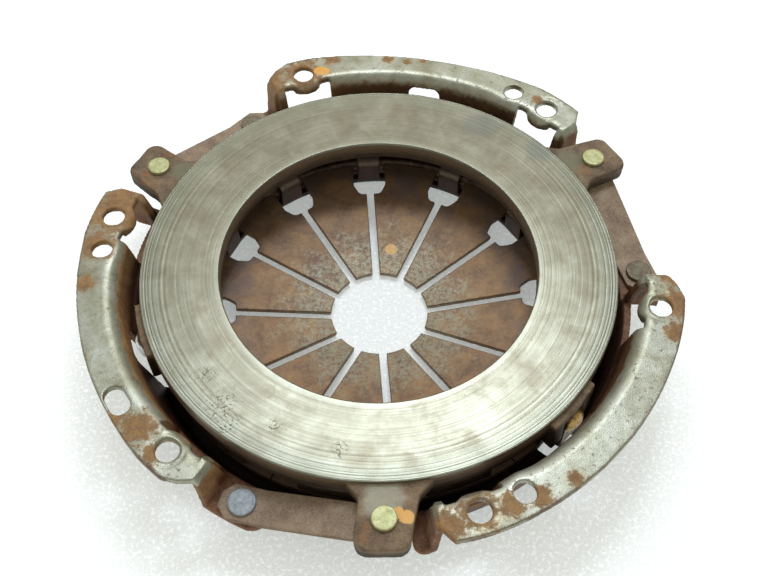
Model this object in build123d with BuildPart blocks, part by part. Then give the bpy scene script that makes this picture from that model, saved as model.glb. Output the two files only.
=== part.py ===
from build123d import *
import os
from math import cos, radians, sin, tan

# Diaphragm-spring clutch pressure plate: stamped cover, cast pressure plate, twelve spring fingers,
# drive straps, pivot wires, lifting clips and rivets.
#
# Lengths are in millimetres and angles in degrees, counted about +Z from +X.
# The origin is the centre of the flywheel mounting plane, the top face of the cover's three pads.
# +Z points to the flywheel. The modelled state is the free one, before the cover is bolted down.

# ---------------------------------------------------------------- driving dimensions
# Layout round the axis
sector_count = 3            # pads, lugs, strap packs, side bosses
lug_angle = 30.2            # first lug
strap_cover_angle = 2.0     # cover end of the strap that hangs from the first lug
boss_angle = 77.5           # side boss, lifting clip and tall window of the first pad

# Cover: stamped sheet
cover_sheet = 3.0
cover_height = 41.4
wall_trim = 0.4             # the wall between the pads ends this far below the shelf's top
wall_top_radius = 106.5     # middle of the sheet, level with the pads
wall_foot_radius = 96.5     # middle of the sheet, level with the floor
pad_bend_radius = 4.5
pad_flat_radius = 110.0     # the flat of a pad ends and its inner bend begins here
shelf_bend_radius = 2.5
floor_bend_radius = 4.0
seat_outer_radius = 82.0    # raised ring of the floor that carries the lower pivot wire
floor_inner_radius = 88.5   # inner edge of the floor's lowest ring
cover_bore_radius = 73.2

pad_outer_radius = 121.7
pad_start_angle = 39.7      # middle of the steep wall at the pad's low end, level with the pad
pad_end_angle = 115.0       # the same at its high end
pad_end_wall_run = 1.6      # how far an end wall leans on its way down
pad_start_corner = (121.2, 41.6)            # radius and angle
pad_end_corner = (119.0, 112.9)
pad_end_radius = 115.6                      # outer edge of the pads at both ends
pad_round_end_angle = 110.0                 # where the pad's round edge stops
pad_relief_angles = (52.0, 78.0, 104.0)
pad_reliefs = (3.4, 1.6, 0.8)               # how far each pad's edge is trimmed back at its middle

bolt_circle_radius = 112.75
bolt_count = 6
first_bolt_angle = 47.2
bolt_hole_radius = 4.5
bolt_ear_radius = 8.6       # sheet left round each bolt hole
bolt_ear_depth = 5.5        # how far down the ear follows the bend
bolt_window_half_angle = 5.8
bolt_window_outer_radius = 107.4
bolt_window_roof = 3.5      # the wall's outer side is cut up to this far below the pads
bolt_window_depth = 17.0
dowel_angle = 56.1
dowel_hole_radius = 4.15
slot_pad = 1                # the only pad with a slot
slot_angle = 92.7
slot_circle_radius = 115.4
slot_length = 12.5
slot_width = 7.7

shelf_outer_radius = 115.8
shelf_corner_radius = 7.0
tongue_corner_radius = 4.0
shelf_rivet_end_angle = 127.8   # the shelf beside a pad's high end reaches this far
shelf_tongue_angle = 35.4       # the short shelf below a pad's low end starts here

tall_window_width = 14.4
tall_window_top = 5.0
tall_window_inner_radius = 90.0

tab_sheet = 2.4
tab_width = 10.2
tab_reach = 6.3             # how far a tab folds outward over the upper wire
tab_bend_radius = 1.9

# Pressure plate: casting
face_drop = 1.5             # friction face below the mounting plane in the free state
friction_outer_radius = 96.0
friction_bore_radius = 64.3
ring_thickness = 8.9
rim_height = 7.5
body_outer_radius = 94.4
body_inner_radius = 82.0
body_height = 14.5
edge_chamfer = 0.6
ridge_radius = 91.0
ridge_width = 4.6
ridge_arc = 16.0
ridge_round = 2.2
ridge_root = 1.0            # how deep a ridge land is let into the body
boss_outer_radius = 98.6
boss_half_angle = 7.4
boss_top_drop = 2.5         # below the friction face
boss_height = 16.0
clip_seat_distance = 97.0   # flat seat of a lifting clip, from the axis
clip_seat_width = 12.8
lug_top_drop = 1.7          # below the friction face
lug_thickness = 6.8
lug_reach = 120.2
lug_low_side = -11.2
lug_high_side = 8.4
lug_neck_reach = 100.6      # the lug is narrowest this far out, and widens inward to its root
lug_neck_low_side = -8.9
lug_neck_high_side = 12.7
lug_root_low_side = -17.5
lug_root_high_side = 22.0
lug_corner_radius = 4.8

# Diaphragm spring
finger_count = 12
first_slot_angle = 3.06
spring_thickness = 2.2
spring_cone_angle = 10.3
spring_tip_radius = 20.9
spring_rim_radius = 93.0
spring_split = 0.4          # between the outer ends of two fingers
finger_slot_width = 3.2
keyhole_inner_radius = 61.2
keyhole_outer_radius = 75.2
keyhole_neck_width = 9.4
keyhole_width = 14.6
keyhole_flare = 4.6
keyhole_corner_radius = 2.4
fulcrum_radius = 76.5
fulcrum_depth = 29.62       # middle of the spring at the fulcrum, below the mounting plane
wire_radius = 1.5
wire_clearance = 0.5        # spring to wire
seat_clearance = 0.05       # wire to sheet, shank to hole
ridge_clearance = 0.12      # spring to ridge

# Drive straps
leaf_count = 3
leaf_thickness = 0.7
leaf_gap = 0.03
strap_width = 14.0
strap_overhang = 8.6        # past each rivet
strap_bevel = 4.2
strap_flat = 8.5            # flat stretch on the inner side of each rivet
strap_lug_radius = 109.0
strap_cover_radius = 108.7
strap_cover_depth = 17.4    # top of the strap pack at the cover, below the mounting plane

# Rivets and clips
shank_radius = 3.0
lug_head_radius = 4.7
lug_head_height = 1.5
cover_head_radius = 5.2
cover_head_height = 1.5
tail_radius = 4.3
tail_height = 1.9
head_round = 0.4
clip_thickness = 1.2
clip_width = 10.0
clip_top_depth = 8.6
clip_hook_radius = 90.4
clip_hook_gap = 1.4         # room for the rim, which drops further than the plate
clip_bend_radius = 1.6
dome_depth = 13.6           # axis of the radial rivets, below the mounting plane
dome_radius = 6.0
dome_height = 3.0
dome_shank_radius = 2.5
dome_clearance = 0.35       # head to boss
dome_shank_length = 7.0

# ---------------------------------------------------------------- derived sizes
sector_pitch = 360 / sector_count
finger_pitch = 360 / finger_count
cone = tan(radians(spring_cone_angle))
cone_cos = cos(radians(spring_cone_angle))
pad_middle = -cover_sheet / 2
floor_middle = cover_sheet / 2 - cover_height
face_level = -face_drop
lug_top = face_level - lug_top_drop
lug_bottom = lug_top - lug_thickness
leaf_pitch = leaf_thickness + leaf_gap
pack_thickness = leaf_count * leaf_pitch
shelf_top = -strap_cover_depth - pack_thickness
shelf_middle = shelf_top - cover_sheet / 2
wire_offset = (spring_thickness / 2 + wire_clearance + wire_radius) / cone_cos
upper_wire_level = wire_offset - fulcrum_depth
lower_wire_level = -wire_offset - fulcrum_depth
seat_middle = lower_wire_level - wire_radius - seat_clearance - cover_sheet / 2
tab_top_middle = upper_wire_level + wire_radius + seat_clearance + tab_sheet / 2
tab_middle_radius = cover_bore_radius - (cover_sheet - tab_sheet) / 2
cut_margin = 2.0            # how far a cut runs past the metal
through = 2 * cover_height  # long enough to cut through the whole cover
pattern_angles = [sector_pitch * index for index in range(sector_count)]
slot_angles = [first_slot_angle + finger_pitch * index for index in range(finger_count)]
upright = (Align.CENTER, Align.CENTER, Align.MIN)   # a cylinder that stands on its place


def wall_radius(level):
    """Middle of the cover's drawn wall at a height."""
    share = (level - floor_middle) / (pad_middle - floor_middle)
    return wall_foot_radius + share * (wall_top_radius - wall_foot_radius)


def spring_middle(radius):
    """Height of the middle of the spring's cone at a radius."""
    return (radius - fulcrum_radius) * cone - fulcrum_depth


def polar(radius, angle):
    """Point in the mounting plane from its radius and angle."""
    return (radius * cos(radians(angle)), radius * sin(radians(angle)))


def radial_plane(angle):
    """Upright plane through the axis: local x is the radius, local y is up."""
    x, y = polar(1, angle)
    return Plane(origin=(0, 0, 0), x_dir=(x, y, 0), z_dir=(y, -x, 0))


def square_plane(angle, distance=0):
    """Upright plane square to a radius: local x runs round the axis, local y is up."""
    x, y = polar(1, angle)
    return Plane(origin=(x * distance, y * distance, 0), x_dir=(-y, x, 0), z_dir=(x, y, 0))


def revolve_sheet(path, bend_radius, sheet, start_angle, arc):
    """Sheet of one thickness, bent along a path and turned through an arc about the axis."""
    with BuildPart() as shell:
        with BuildSketch(radial_plane(start_angle)):
            with BuildLine():
                FilletPolyline(*path, radius=bend_radius)
            trace(line_width=sheet)
        revolve(axis=Axis.Z, revolution_arc=arc)
    return shell.part


def save(part, name):
    """Label a finished piece and write its STEP file."""
    part.label = name
    export_step(part, f"parts/{name}.step")


# ---------------------------------------------------------------- cover
def pad_plate(offset, relief):
    """Flat top of one pad, to its real outline."""
    inner = pad_flat_radius
    relief_start, relief_middle, relief_end = pad_relief_angles
    middle_angle = (pad_start_angle + pad_end_angle) / 2
    with BuildPart() as plate:
        with BuildSketch(Plane.XY):
            with BuildLine(Plane.XY.rotated((0, 0, offset))):
                Polyline(
                    polar(inner, pad_start_angle),
                    polar(pad_end_radius, pad_start_angle),
                    polar(*pad_start_corner),
                )
                ThreePointArc(
                    polar(*pad_start_corner),
                    polar(pad_outer_radius, (pad_start_corner[1] + relief_start) / 2),
                    polar(pad_outer_radius, relief_start),
                )
                ThreePointArc(
                    polar(pad_outer_radius, relief_start),
                    polar(pad_outer_radius - relief, relief_middle),
                    polar(pad_outer_radius, relief_end),
                )
                ThreePointArc(
                    polar(pad_outer_radius, relief_end),
                    polar(pad_outer_radius, (relief_end + pad_round_end_angle) / 2),
                    polar(pad_outer_radius, pad_round_end_angle),
                )
                Polyline(
                    polar(pad_outer_radius, pad_round_end_angle),
                    polar(*pad_end_corner),
                    polar(pad_end_radius, pad_end_angle),
                    polar(inner, pad_end_angle),
                )
                ThreePointArc(
                    polar(inner, pad_end_angle),
                    polar(inner, middle_angle),
                    polar(inner, pad_start_angle),
                )
            make_face()
        extrude(amount=-cover_sheet)
    return plate.part


def pad_end_wall(angle, run):
    """Steep wall from a pad's end down to the shelf. A negative run leans towards lower angles."""
    inner = wall_radius(shelf_middle)
    side = 1 if run > 0 else -1
    lap = side * cover_sheet
    with BuildPart() as wall:
        with BuildSketch(square_plane(angle, inner)):
            with BuildLine():
                FilletPolyline(
                    (-lap, pad_middle),
                    (0, pad_middle),
                    (run, shelf_middle),
                    (run + lap, shelf_middle),
                    radius=shelf_bend_radius,
                )
            trace(line_width=cover_sheet)
        extrude(amount=pad_end_radius - inner)
        with Locations((0, 0, -cover_height / 2)):
            Cone(wall_radius(-cover_height), wall_radius(0), cover_height, mode=Mode.SUBTRACT)
    return wall.part


def make_cover():
    """Stamped cover with pads, shelves, windows, holes and bent tabs."""
    wall_lap = shelf_top - cover_sheet
    dish = revolve_sheet(
        (
            (cover_bore_radius, seat_middle),
            (seat_outer_radius, seat_middle),
            (floor_inner_radius, floor_middle),
            (wall_foot_radius, floor_middle),
            (wall_radius(shelf_top - wall_trim), shelf_top - wall_trim),
        ),
        floor_bend_radius,
        cover_sheet,
        0,
        360,
    )
    with BuildPart() as cover:
        add(dish)
        for offset, relief in zip(pattern_angles, pad_reliefs):
            add(
                revolve_sheet(
                    (
                        (wall_radius(wall_lap), wall_lap),
                        (wall_radius(pad_middle), pad_middle),
                        (pad_flat_radius + cover_sheet, pad_middle),
                    ),
                    pad_bend_radius,
                    cover_sheet,
                    offset + pad_start_angle,
                    pad_end_angle - pad_start_angle,
                )
            )
            add(pad_plate(offset, relief))
            shelf_path = (
                (wall_radius(wall_lap - cover_sheet), wall_lap - cover_sheet),
                (wall_radius(shelf_middle), shelf_middle),
                (shelf_outer_radius, shelf_middle),
            )
            for start, end, free_angle, corner_count, corner_radius in (
                (pad_end_angle, shelf_rivet_end_angle, shelf_rivet_end_angle, 1, shelf_corner_radius),
                (shelf_tongue_angle, pad_start_angle, shelf_tongue_angle, 2, tongue_corner_radius),
            ):
                shelf = revolve_sheet(shelf_path, shelf_bend_radius, cover_sheet, offset + start, end - start)
                tip = Vector(*polar(shelf_outer_radius, offset + free_angle))
                corners = shelf.edges().filter_by(Axis.Z).sort_by_distance(tip)
                add(shelf.fillet(corner_radius, corners[:corner_count]))
            add(pad_end_wall(offset + pad_end_angle, pad_end_wall_run))
            add(pad_end_wall(offset + pad_start_angle, -pad_end_wall_run))

        # Windows below the bolt holes, clear of an ear of sheet round each hole
        with BuildPart(mode=Mode.PRIVATE) as windows:
            inner = wall_foot_radius - cover_sheet / 2 - cut_margin
            for index in range(bolt_count):
                angle = first_bolt_angle + 360 / bolt_count * index
                for outer, height in (
                    (bolt_window_outer_radius, bolt_window_depth + cut_margin),
                    (bolt_circle_radius, bolt_window_depth - bolt_window_roof),
                ):
                    with BuildSketch(Plane.XY.offset(-bolt_window_depth)):
                        with BuildLine():
                            Polyline(
                                polar(inner, angle - bolt_window_half_angle),
                                polar(outer, angle - bolt_window_half_angle),
                                polar(outer, angle + bolt_window_half_angle),
                                polar(inner, angle + bolt_window_half_angle),
                                close=True,
                            )
                        make_face()
                    extrude(amount=height)
            with Locations((0, 0, -bolt_ear_depth)):
                with PolarLocations(bolt_circle_radius, bolt_count, first_bolt_angle):
                    Cylinder(bolt_ear_radius, cover_height, align=upright, mode=Mode.SUBTRACT)
        add(windows.part, mode=Mode.SUBTRACT)

        # Tall windows that clear the lifting clips
        for offset in pattern_angles:
            with BuildSketch(square_plane(offset + boss_angle, tall_window_inner_radius)):
                with Locations((0, -tall_window_top)):
                    Rectangle(tall_window_width, cover_height, align=(Align.CENTER, Align.MAX))
            extrude(amount=wall_top_radius + cover_sheet - tall_window_inner_radius, mode=Mode.SUBTRACT)

        # Holes
        with BuildSketch(Plane.XY.offset(-cover_height)):
            with PolarLocations(bolt_circle_radius, bolt_count, first_bolt_angle):
                Circle(bolt_hole_radius)
            with PolarLocations(bolt_circle_radius, sector_count, dowel_angle):
                Circle(dowel_hole_radius)
            with PolarLocations(strap_cover_radius, sector_count, strap_cover_angle):
                Circle(shank_radius + seat_clearance)
            slot_direction = slot_angle + pattern_angles[slot_pad]
            with Locations(polar(slot_circle_radius, slot_direction)):
                SlotOverall(slot_length, slot_width, rotation=slot_direction + 90)
        extrude(amount=through, mode=Mode.SUBTRACT)

        # Bent tabs that pass through the keyholes and fold over the upper wire
        for angle in slot_angles:
            with BuildSketch(radial_plane(angle)):
                with BuildLine():
                    FilletPolyline(
                        (tab_middle_radius + tab_reach, seat_middle),
                        (tab_middle_radius, seat_middle),
                        (tab_middle_radius, tab_top_middle),
                        (tab_middle_radius + tab_reach, tab_top_middle),
                        radius=tab_bend_radius,
                    )
                trace(line_width=tab_sheet)
            extrude(amount=tab_width / 2, both=True)
    return cover.part


# ---------------------------------------------------------------- pressure plate
def make_pressure_plate():
    """Casting: friction ring, ridge lands, side bosses and lugs."""
    body_bottom = face_level - body_height
    ring_bottom = face_level - ring_thickness
    rim_bottom = face_level - rim_height
    ridge_bottom = spring_middle(ridge_radius) + spring_thickness / 2 / cone_cos + ridge_clearance
    boss_top = face_level - boss_top_drop
    clip_seat_top = dome_radius + dome_clearance - dome_depth
    with BuildPart() as plate:
        with BuildSketch(Plane.XZ):
            with BuildLine():
                Polyline(
                    (friction_bore_radius, face_level - edge_chamfer),
                    (friction_bore_radius + edge_chamfer, face_level),
                    (friction_outer_radius - edge_chamfer, face_level),
                    (friction_outer_radius, face_level - edge_chamfer),
                    (friction_outer_radius, rim_bottom),
                    (body_outer_radius, rim_bottom - (friction_outer_radius - body_outer_radius)),
                    (body_outer_radius, body_bottom),
                    (body_inner_radius, body_bottom),
                    (body_inner_radius - edge_chamfer, ring_bottom),
                    (friction_bore_radius, ring_bottom),
                    close=True,
                )
            make_face()
        revolve(axis=Axis.Z)
        # Fulcrum ridge: one land for each finger
        for angle in slot_angles:
            middle = angle + finger_pitch / 2
            with BuildSketch(radial_plane(middle - ridge_arc / 2)):
                with Locations((ridge_radius, ridge_bottom)):
                    Rectangle(
                        ridge_width,
                        body_bottom + ridge_root - ridge_bottom,
                        align=(Align.CENTER, Align.MIN),
                    )
                corners = vertices().group_by(Axis.Z)[0]
                fillet(corners, radius=ridge_round)
            revolve(axis=Axis.Z, revolution_arc=ridge_arc)
        for offset in pattern_angles:
            # Side boss with a flat seat for the lifting clip
            with BuildSketch(radial_plane(offset + boss_angle - boss_half_angle)):
                with Locations((body_inner_radius + ridge_width, boss_top)):
                    Rectangle(
                        boss_outer_radius - body_inner_radius - ridge_width,
                        boss_height,
                        align=(Align.MIN, Align.MAX),
                    )
            revolve(axis=Axis.Z, revolution_arc=2 * boss_half_angle)
            with BuildSketch(square_plane(offset + boss_angle, clip_seat_distance)):
                with Locations((0, clip_seat_top)):
                    Rectangle(clip_seat_width, cover_height, align=(Align.CENTER, Align.MAX))
            extrude(amount=boss_outer_radius - body_inner_radius, mode=Mode.SUBTRACT)
            with BuildSketch(square_plane(offset + boss_angle, clip_seat_distance)):
                with Locations((0, -dome_depth)):
                    Circle(dome_shank_radius + seat_clearance)
            extrude(amount=-dome_shank_length, mode=Mode.SUBTRACT)
            # Lug
            with BuildSketch(Plane.XY.offset(lug_bottom).rotated((0, 0, offset + lug_angle))) as lug:
                with BuildLine():
                    Polyline(
                        (body_outer_radius - ridge_width, lug_root_low_side),
                        (lug_neck_reach, lug_neck_low_side),
                        (lug_reach, lug_low_side),
                        (lug_reach, lug_high_side),
                        (lug_neck_reach, lug_neck_high_side),
                        (body_outer_radius - ridge_width, lug_root_high_side),
                        close=True,
                    )
                make_face()
                rounded = lug.vertices().filter_by(lambda corner: corner.X > body_outer_radius)
                fillet(rounded, radius=lug_corner_radius)
            extrude(amount=lug_thickness)
        with BuildSketch(Plane.XY.offset(lug_bottom)):
            with PolarLocations(strap_lug_radius, sector_count, lug_angle):
                Circle(shank_radius + seat_clearance)
        extrude(amount=lug_thickness, mode=Mode.SUBTRACT)
    return plate.part


# ---------------------------------------------------------------- diaphragm spring
def make_finger(angle):
    """One spring finger with its share of the outer ring, between two keyhole slots."""
    half = spring_thickness / 2
    lean = half * sin(radians(spring_cone_angle))
    rise = half * cone_cos
    with BuildPart() as finger:
        with BuildSketch(radial_plane(angle - finger_pitch / 2)):
            with BuildLine():
                tip, rim = spring_middle(spring_tip_radius), spring_middle(spring_rim_radius)
                Polyline(
                    (spring_tip_radius - lean, tip + rise),
                    (spring_rim_radius - lean, rim + rise),
                    (spring_rim_radius + lean, rim - rise),
                    (spring_tip_radius + lean, tip - rise),
                    close=True,
                )
            make_face()
        revolve(axis=Axis.Z, revolution_arc=finger_pitch)
        for side in (-1, 1):
            edge_plane = Plane.XY.offset(-cover_height).rotated((0, 0, angle + side * finger_pitch / 2))
            with BuildSketch(edge_plane) as slot:
                with BuildLine():
                    Polyline(
                        (0, finger_slot_width / 2),
                        (keyhole_inner_radius, finger_slot_width / 2),
                        (keyhole_inner_radius, keyhole_neck_width / 2),
                        (keyhole_inner_radius + keyhole_flare, keyhole_width / 2),
                        (keyhole_outer_radius, keyhole_width / 2),
                        (keyhole_outer_radius, spring_split / 2),
                        (spring_rim_radius + cut_margin, spring_split / 2),
                        (spring_rim_radius + cut_margin, -spring_split / 2),
                        (keyhole_outer_radius, -spring_split / 2),
                        (keyhole_outer_radius, -keyhole_width / 2),
                        (keyhole_inner_radius + keyhole_flare, -keyhole_width / 2),
                        (keyhole_inner_radius, -keyhole_neck_width / 2),
                        (keyhole_inner_radius, -finger_slot_width / 2),
                        (0, -finger_slot_width / 2),
                        close=True,
                    )
                make_face()
                widened = slot.vertices().filter_by(lambda corner: abs(corner.Y) >= keyhole_neck_width / 2)
                inner_limit = keyhole_outer_radius - keyhole_corner_radius
                lower = widened.filter_by(lambda corner: corner.X < inner_limit)
                fillet(lower, radius=keyhole_corner_radius)
            extrude(amount=cover_height, mode=Mode.SUBTRACT)
    return finger.part


def make_wire(level):
    """One pivot wire ring."""
    with BuildPart() as wire:
        with BuildSketch(Plane.XZ):
            with Locations((fulcrum_radius, level)):
                Circle(wire_radius)
        revolve(axis=Axis.Z)
    return wire.part


# ---------------------------------------------------------------- straps
def make_leaf(offset, layer):
    """One leaf of a strap pack, bent down from the lug to the cover's shelf."""
    lug_x, lug_y = polar(strap_lug_radius, offset + lug_angle)
    cover_x, cover_y = polar(strap_cover_radius, offset + strap_cover_angle)
    along = Vector(cover_x - lug_x, cover_y - lug_y, 0)
    span = along.length
    across = along.normalized().cross(Vector(0, 0, 1))
    upright = Plane(origin=(lug_x, lug_y, 0), x_dir=along, z_dir=across)
    flat = Plane(origin=(lug_x, lug_y, -cover_height), x_dir=along, z_dir=(0, 0, 1))
    drop = leaf_pitch * (layer + 0.5)
    lug_level = lug_bottom - drop
    cover_level = -strap_cover_depth - drop
    with BuildPart() as leaf:
        with BuildSketch(upright):
            with BuildLine():
                FilletPolyline(
                    (-strap_overhang, lug_level),
                    (strap_flat, lug_level),
                    (span - strap_flat, cover_level),
                    (span + strap_overhang, cover_level),
                    radius=strap_width / 2,
                )
            trace(line_width=leaf_thickness)
        extrude(amount=strap_width / 2, both=True)
        with BuildSketch(flat):
            with Locations((span / 2, 0)):
                Rectangle(span + 2 * strap_overhang, strap_width)
            chamfer(vertices(), length=strap_bevel)
            with Locations((0, 0), (span, 0)):
                Circle(shank_radius + seat_clearance, mode=Mode.SUBTRACT)
        extrude(amount=cover_height, mode=Mode.INTERSECT)
    return leaf.part


# ---------------------------------------------------------------- rivets and clips
def make_rivets(circle_radius, first_angle, head_radius, head_height, head_seat, tail_seat):
    """Upright rivets at one radius: flat head, shank, closed tail."""
    with BuildPart() as rivets:
        for offset in pattern_angles:
            with Locations(polar(circle_radius, first_angle + offset)):
                with Locations((0, 0, tail_seat)):
                    Cylinder(shank_radius, head_seat - tail_seat, align=upright)
                    Cylinder(tail_radius, tail_height, align=(Align.CENTER, Align.CENTER, Align.MAX))
                with Locations((0, 0, head_seat)):
                    Cylinder(head_radius, head_height, align=upright)
        rims = rivets.edges().filter_by(GeomType.CIRCLE).group_by(Axis.Z)
        fillet(rims[-1] + rims[0], radius=head_round)
    return rivets.part


def make_clips():
    """Lifting clips: strips on the plate's side bosses that hook under the spring's rim."""
    seat = clip_seat_distance + clip_thickness / 2
    hook_top = spring_middle(clip_hook_radius) - spring_thickness / 2 / cone_cos - clip_hook_gap
    hook_middle = hook_top - clip_thickness / 2
    with BuildPart() as clips:
        for offset in pattern_angles:
            with BuildSketch(radial_plane(offset + boss_angle)):
                with BuildLine():
                    FilletPolyline(
                        (seat, -clip_top_depth),
                        (seat, hook_middle),
                        (clip_hook_radius, hook_middle),
                        radius=clip_bend_radius,
                    )
                trace(line_width=clip_thickness)
            extrude(amount=clip_width / 2, both=True)
            with BuildSketch(square_plane(offset + boss_angle, clip_seat_distance - cut_margin)):
                with Locations((0, -dome_depth)):
                    Circle(dome_shank_radius + seat_clearance)
            extrude(amount=clip_thickness + 2 * cut_margin, mode=Mode.SUBTRACT)
    return clips.part


def make_clip_rivets():
    """Radial rivets with domed heads that fasten the lifting clips."""
    head_seat = clip_seat_distance + clip_thickness
    ball_radius = (dome_radius**2 + dome_height**2) / (2 * dome_height)
    with BuildPart() as rivets:
        for offset in pattern_angles:
            with BuildSketch(radial_plane(offset + boss_angle)):
                with BuildLine():
                    arc = ThreePointArc(
                        (head_seat + dome_height, -dome_depth),
                        (
                            head_seat + dome_height - ball_radius + ball_radius * cos(radians(finger_pitch)),
                            -dome_depth + ball_radius * sin(radians(finger_pitch)),
                        ),
                        (head_seat, -dome_depth + dome_radius),
                    )
                    Polyline(
                        arc @ 1,
                        (head_seat, -dome_depth + dome_shank_radius),
                        (head_seat - dome_shank_length, -dome_depth + dome_shank_radius),
                        (head_seat - dome_shank_length, -dome_depth),
                        arc @ 0,
                    )
                make_face()
            x, y = polar(1, offset + boss_angle)
            revolve(axis=Axis((0, 0, -dome_depth), (x, y, 0)))
    return rivets.part


# ---------------------------------------------------------------- write every piece
os.makedirs("parts", exist_ok=True)

save(make_cover(), "cover")
save(make_pressure_plate(), "pressure_plate")
for number, slot in enumerate(slot_angles, start=1):
    save(make_finger(slot + finger_pitch / 2), f"diaphragm_finger_{number:02d}")
save(make_wire(upper_wire_level), "upper_pivot_wire")
save(make_wire(lower_wire_level), "lower_pivot_wire")
for number, start_angle in enumerate(pattern_angles, start=1):
    for layer in range(leaf_count):
        save(make_leaf(start_angle, layer), f"drive_strap_{number}_leaf_{layer + 1}")
save(
    make_rivets(
        strap_lug_radius, lug_angle, lug_head_radius, lug_head_height, lug_top, lug_bottom - pack_thickness
    ),
    "lug_rivets",
)
save(
    make_rivets(
        strap_cover_radius,
        strap_cover_angle,
        cover_head_radius,
        cover_head_height,
        -strap_cover_depth,
        shelf_top - cover_sheet,
    ),
    "cover_rivets",
)
save(make_clips(), "lifting_clips")
save(make_clip_rivets(), "clip_rivets")
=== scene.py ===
"""Looks of the clutch pressure plate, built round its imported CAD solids, in metres."""

import math

import bmesh
import bpy
import numpy as np
from mathutils import Matrix, Vector


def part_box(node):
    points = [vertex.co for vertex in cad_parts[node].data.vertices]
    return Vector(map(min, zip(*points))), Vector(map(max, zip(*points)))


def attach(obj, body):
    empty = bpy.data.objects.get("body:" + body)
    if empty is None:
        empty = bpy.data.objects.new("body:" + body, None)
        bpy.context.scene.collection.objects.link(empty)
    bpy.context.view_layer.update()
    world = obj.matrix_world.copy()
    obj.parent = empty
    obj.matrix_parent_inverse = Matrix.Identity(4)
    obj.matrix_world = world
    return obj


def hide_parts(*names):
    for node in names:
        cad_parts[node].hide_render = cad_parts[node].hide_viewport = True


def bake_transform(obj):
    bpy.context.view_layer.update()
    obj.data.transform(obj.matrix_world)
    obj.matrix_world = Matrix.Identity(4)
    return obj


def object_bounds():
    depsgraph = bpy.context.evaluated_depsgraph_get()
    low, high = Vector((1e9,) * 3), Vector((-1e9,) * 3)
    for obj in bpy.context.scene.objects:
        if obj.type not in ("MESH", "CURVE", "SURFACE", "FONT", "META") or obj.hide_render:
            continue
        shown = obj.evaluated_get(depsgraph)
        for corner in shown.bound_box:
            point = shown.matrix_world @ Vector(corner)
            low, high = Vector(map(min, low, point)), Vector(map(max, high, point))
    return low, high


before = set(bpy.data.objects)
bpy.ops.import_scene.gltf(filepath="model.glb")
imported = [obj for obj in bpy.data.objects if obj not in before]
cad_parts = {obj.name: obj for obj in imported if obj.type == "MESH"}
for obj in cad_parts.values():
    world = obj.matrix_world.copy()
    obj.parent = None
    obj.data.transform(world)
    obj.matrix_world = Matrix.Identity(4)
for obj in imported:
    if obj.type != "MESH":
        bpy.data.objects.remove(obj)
cad_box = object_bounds()

MM = 0.001

# Driving dimensions of the part, in millimetres and degrees. Heights are over the mounting plane.
sector_count = 3
sector_turn = 360 / sector_count
finger_count = 12
finger_turn = 360 / finger_count
bolt_count = 6
bolt_turn = 360 / bolt_count
leaf_count = 3

face_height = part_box("pressure_plate")[1].z / MM
face_inner_radius = 64.3
face_outer_radius = 96.0
bolt_circle_radius = 112.75
bolt_angles = [47.2 + bolt_turn * k for k in range(bolt_count)]
bolt_hole_radius = 4.5
dowel_angles = [56.1 + sector_turn * k for k in range(sector_count)]
lug_angles = [30.2 + sector_turn * k for k in range(sector_count)]
lug_top = face_height - 1.7
strap_cover_angles = [2.0 + sector_turn * k for k in range(sector_count)]
boss_angles = [77.5 + sector_turn * k for k in range(sector_count)]

# The cover's wall, halfway through its sheet, and the tall windows in it
wall_top_radius = 106.5
wall_slope = 10.0 / 41.4
wall_half_thickness = 1.54
tall_window_width = 14.4
tall_window_top = 5.0
tall_window_lows = (-5.0, -11.0, -5.0)  # where each window's rounded top ends up
window_corner_radius = 3.5
window_corner_points = 7
window_overlap = 0.3                    # how far the strips run into the wall

# Dents and swellings of the pressing
pad_top_band = (-1.2, -0.2)             # the pads' upper surface lies above these heights
imprint_radii = (7.6, 7.1)              # where a bolt face's imprint starts and is deep
imprint_depth = 0.16
hole_edge_width = 0.9
hole_edge_depth = 0.35
bulge_radius = 104.6                    # the swelling beside each dowel hole
bulge_turn = 0.4
bulge_height = -2.6
bulge_stretch = (1, 1, 1.2)
bulge_size = 5.2
bulge_rise = 1.1
bulge_inward = 0.55
bulge_upward = 0.75
bulge_inner_limit = 96
pad_ceiling = 0.35

# Layers of lumps on a surface: height and width of each, and a shift that gives it its own pattern
cover_waves = ((0.10, 14.0, 0.0), (0.03, 3.0, 5.0))
casting_lumps = ((0.16, 5.0, 0.0), (0.05, 1.6, 3.0))
hammer_marks = ((0.05, 2.2, 0.0), (0.02, 0.9, 9.0))

# The machined ring
ring_steps = 480
ring_wall_depth = 6.2
ring_wall_margin = 0.3                  # the casting is set back this far outside the ring as well
ring_lead = 0.3                         # height of the slant at the foot of both walls
ring_edge = 0.5                         # size of the rounded edges
ring_edge_run = 2.5
ring_edge_across, ring_edge_down = 0.25, 0.35
ring_face_margin = 0.1
ring_mark_pitch = 0.2
ring_mark_depth = 0.005
ring_mark_width = 0.45
groove_half_width = 0.28
edge_grooves = [(95.1, 0.02), (93.9, 0.04), (92.9, 0.025), (91.2, 0.03), (88.2, 0.012), (67.0, 0.015)]
fine_groove_count = 16
fine_groove_radii = (69, 90)
fine_groove_depths = (0.004, 0.014)
casting_setback = 0.35

# Lengths below which vertices and edges merge
weld_distance = 0.001
fine_weld_distance = 0.0005
shortest_edge = 0.0001

# The floor, in metres, and how brightly it shows to the camera and in reflections
floor_half_width = 1.6
floor_gap = 0.0002
floor_glow = 0.46
# The floor's dimmer glow near the part is a painted shadow under it.
floor_glow_radii = (50.0, 150.0)        # in millimetres: dimmer inside, brighter outside
floor_glow_shares = (0.75, 1.1)
sparkle_gain = 1.25

# The camera: angles in radians, its distance in radii of the ring, its lens in millimetres
camera_elevation, camera_roll, camera_pan, camera_tilt = 0.9355, -0.0171, 0.0053, 0.0257
camera_distance = 4.3254 * face_outer_radius
camera_lens, camera_sensor = 48.21, 36.0

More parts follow.
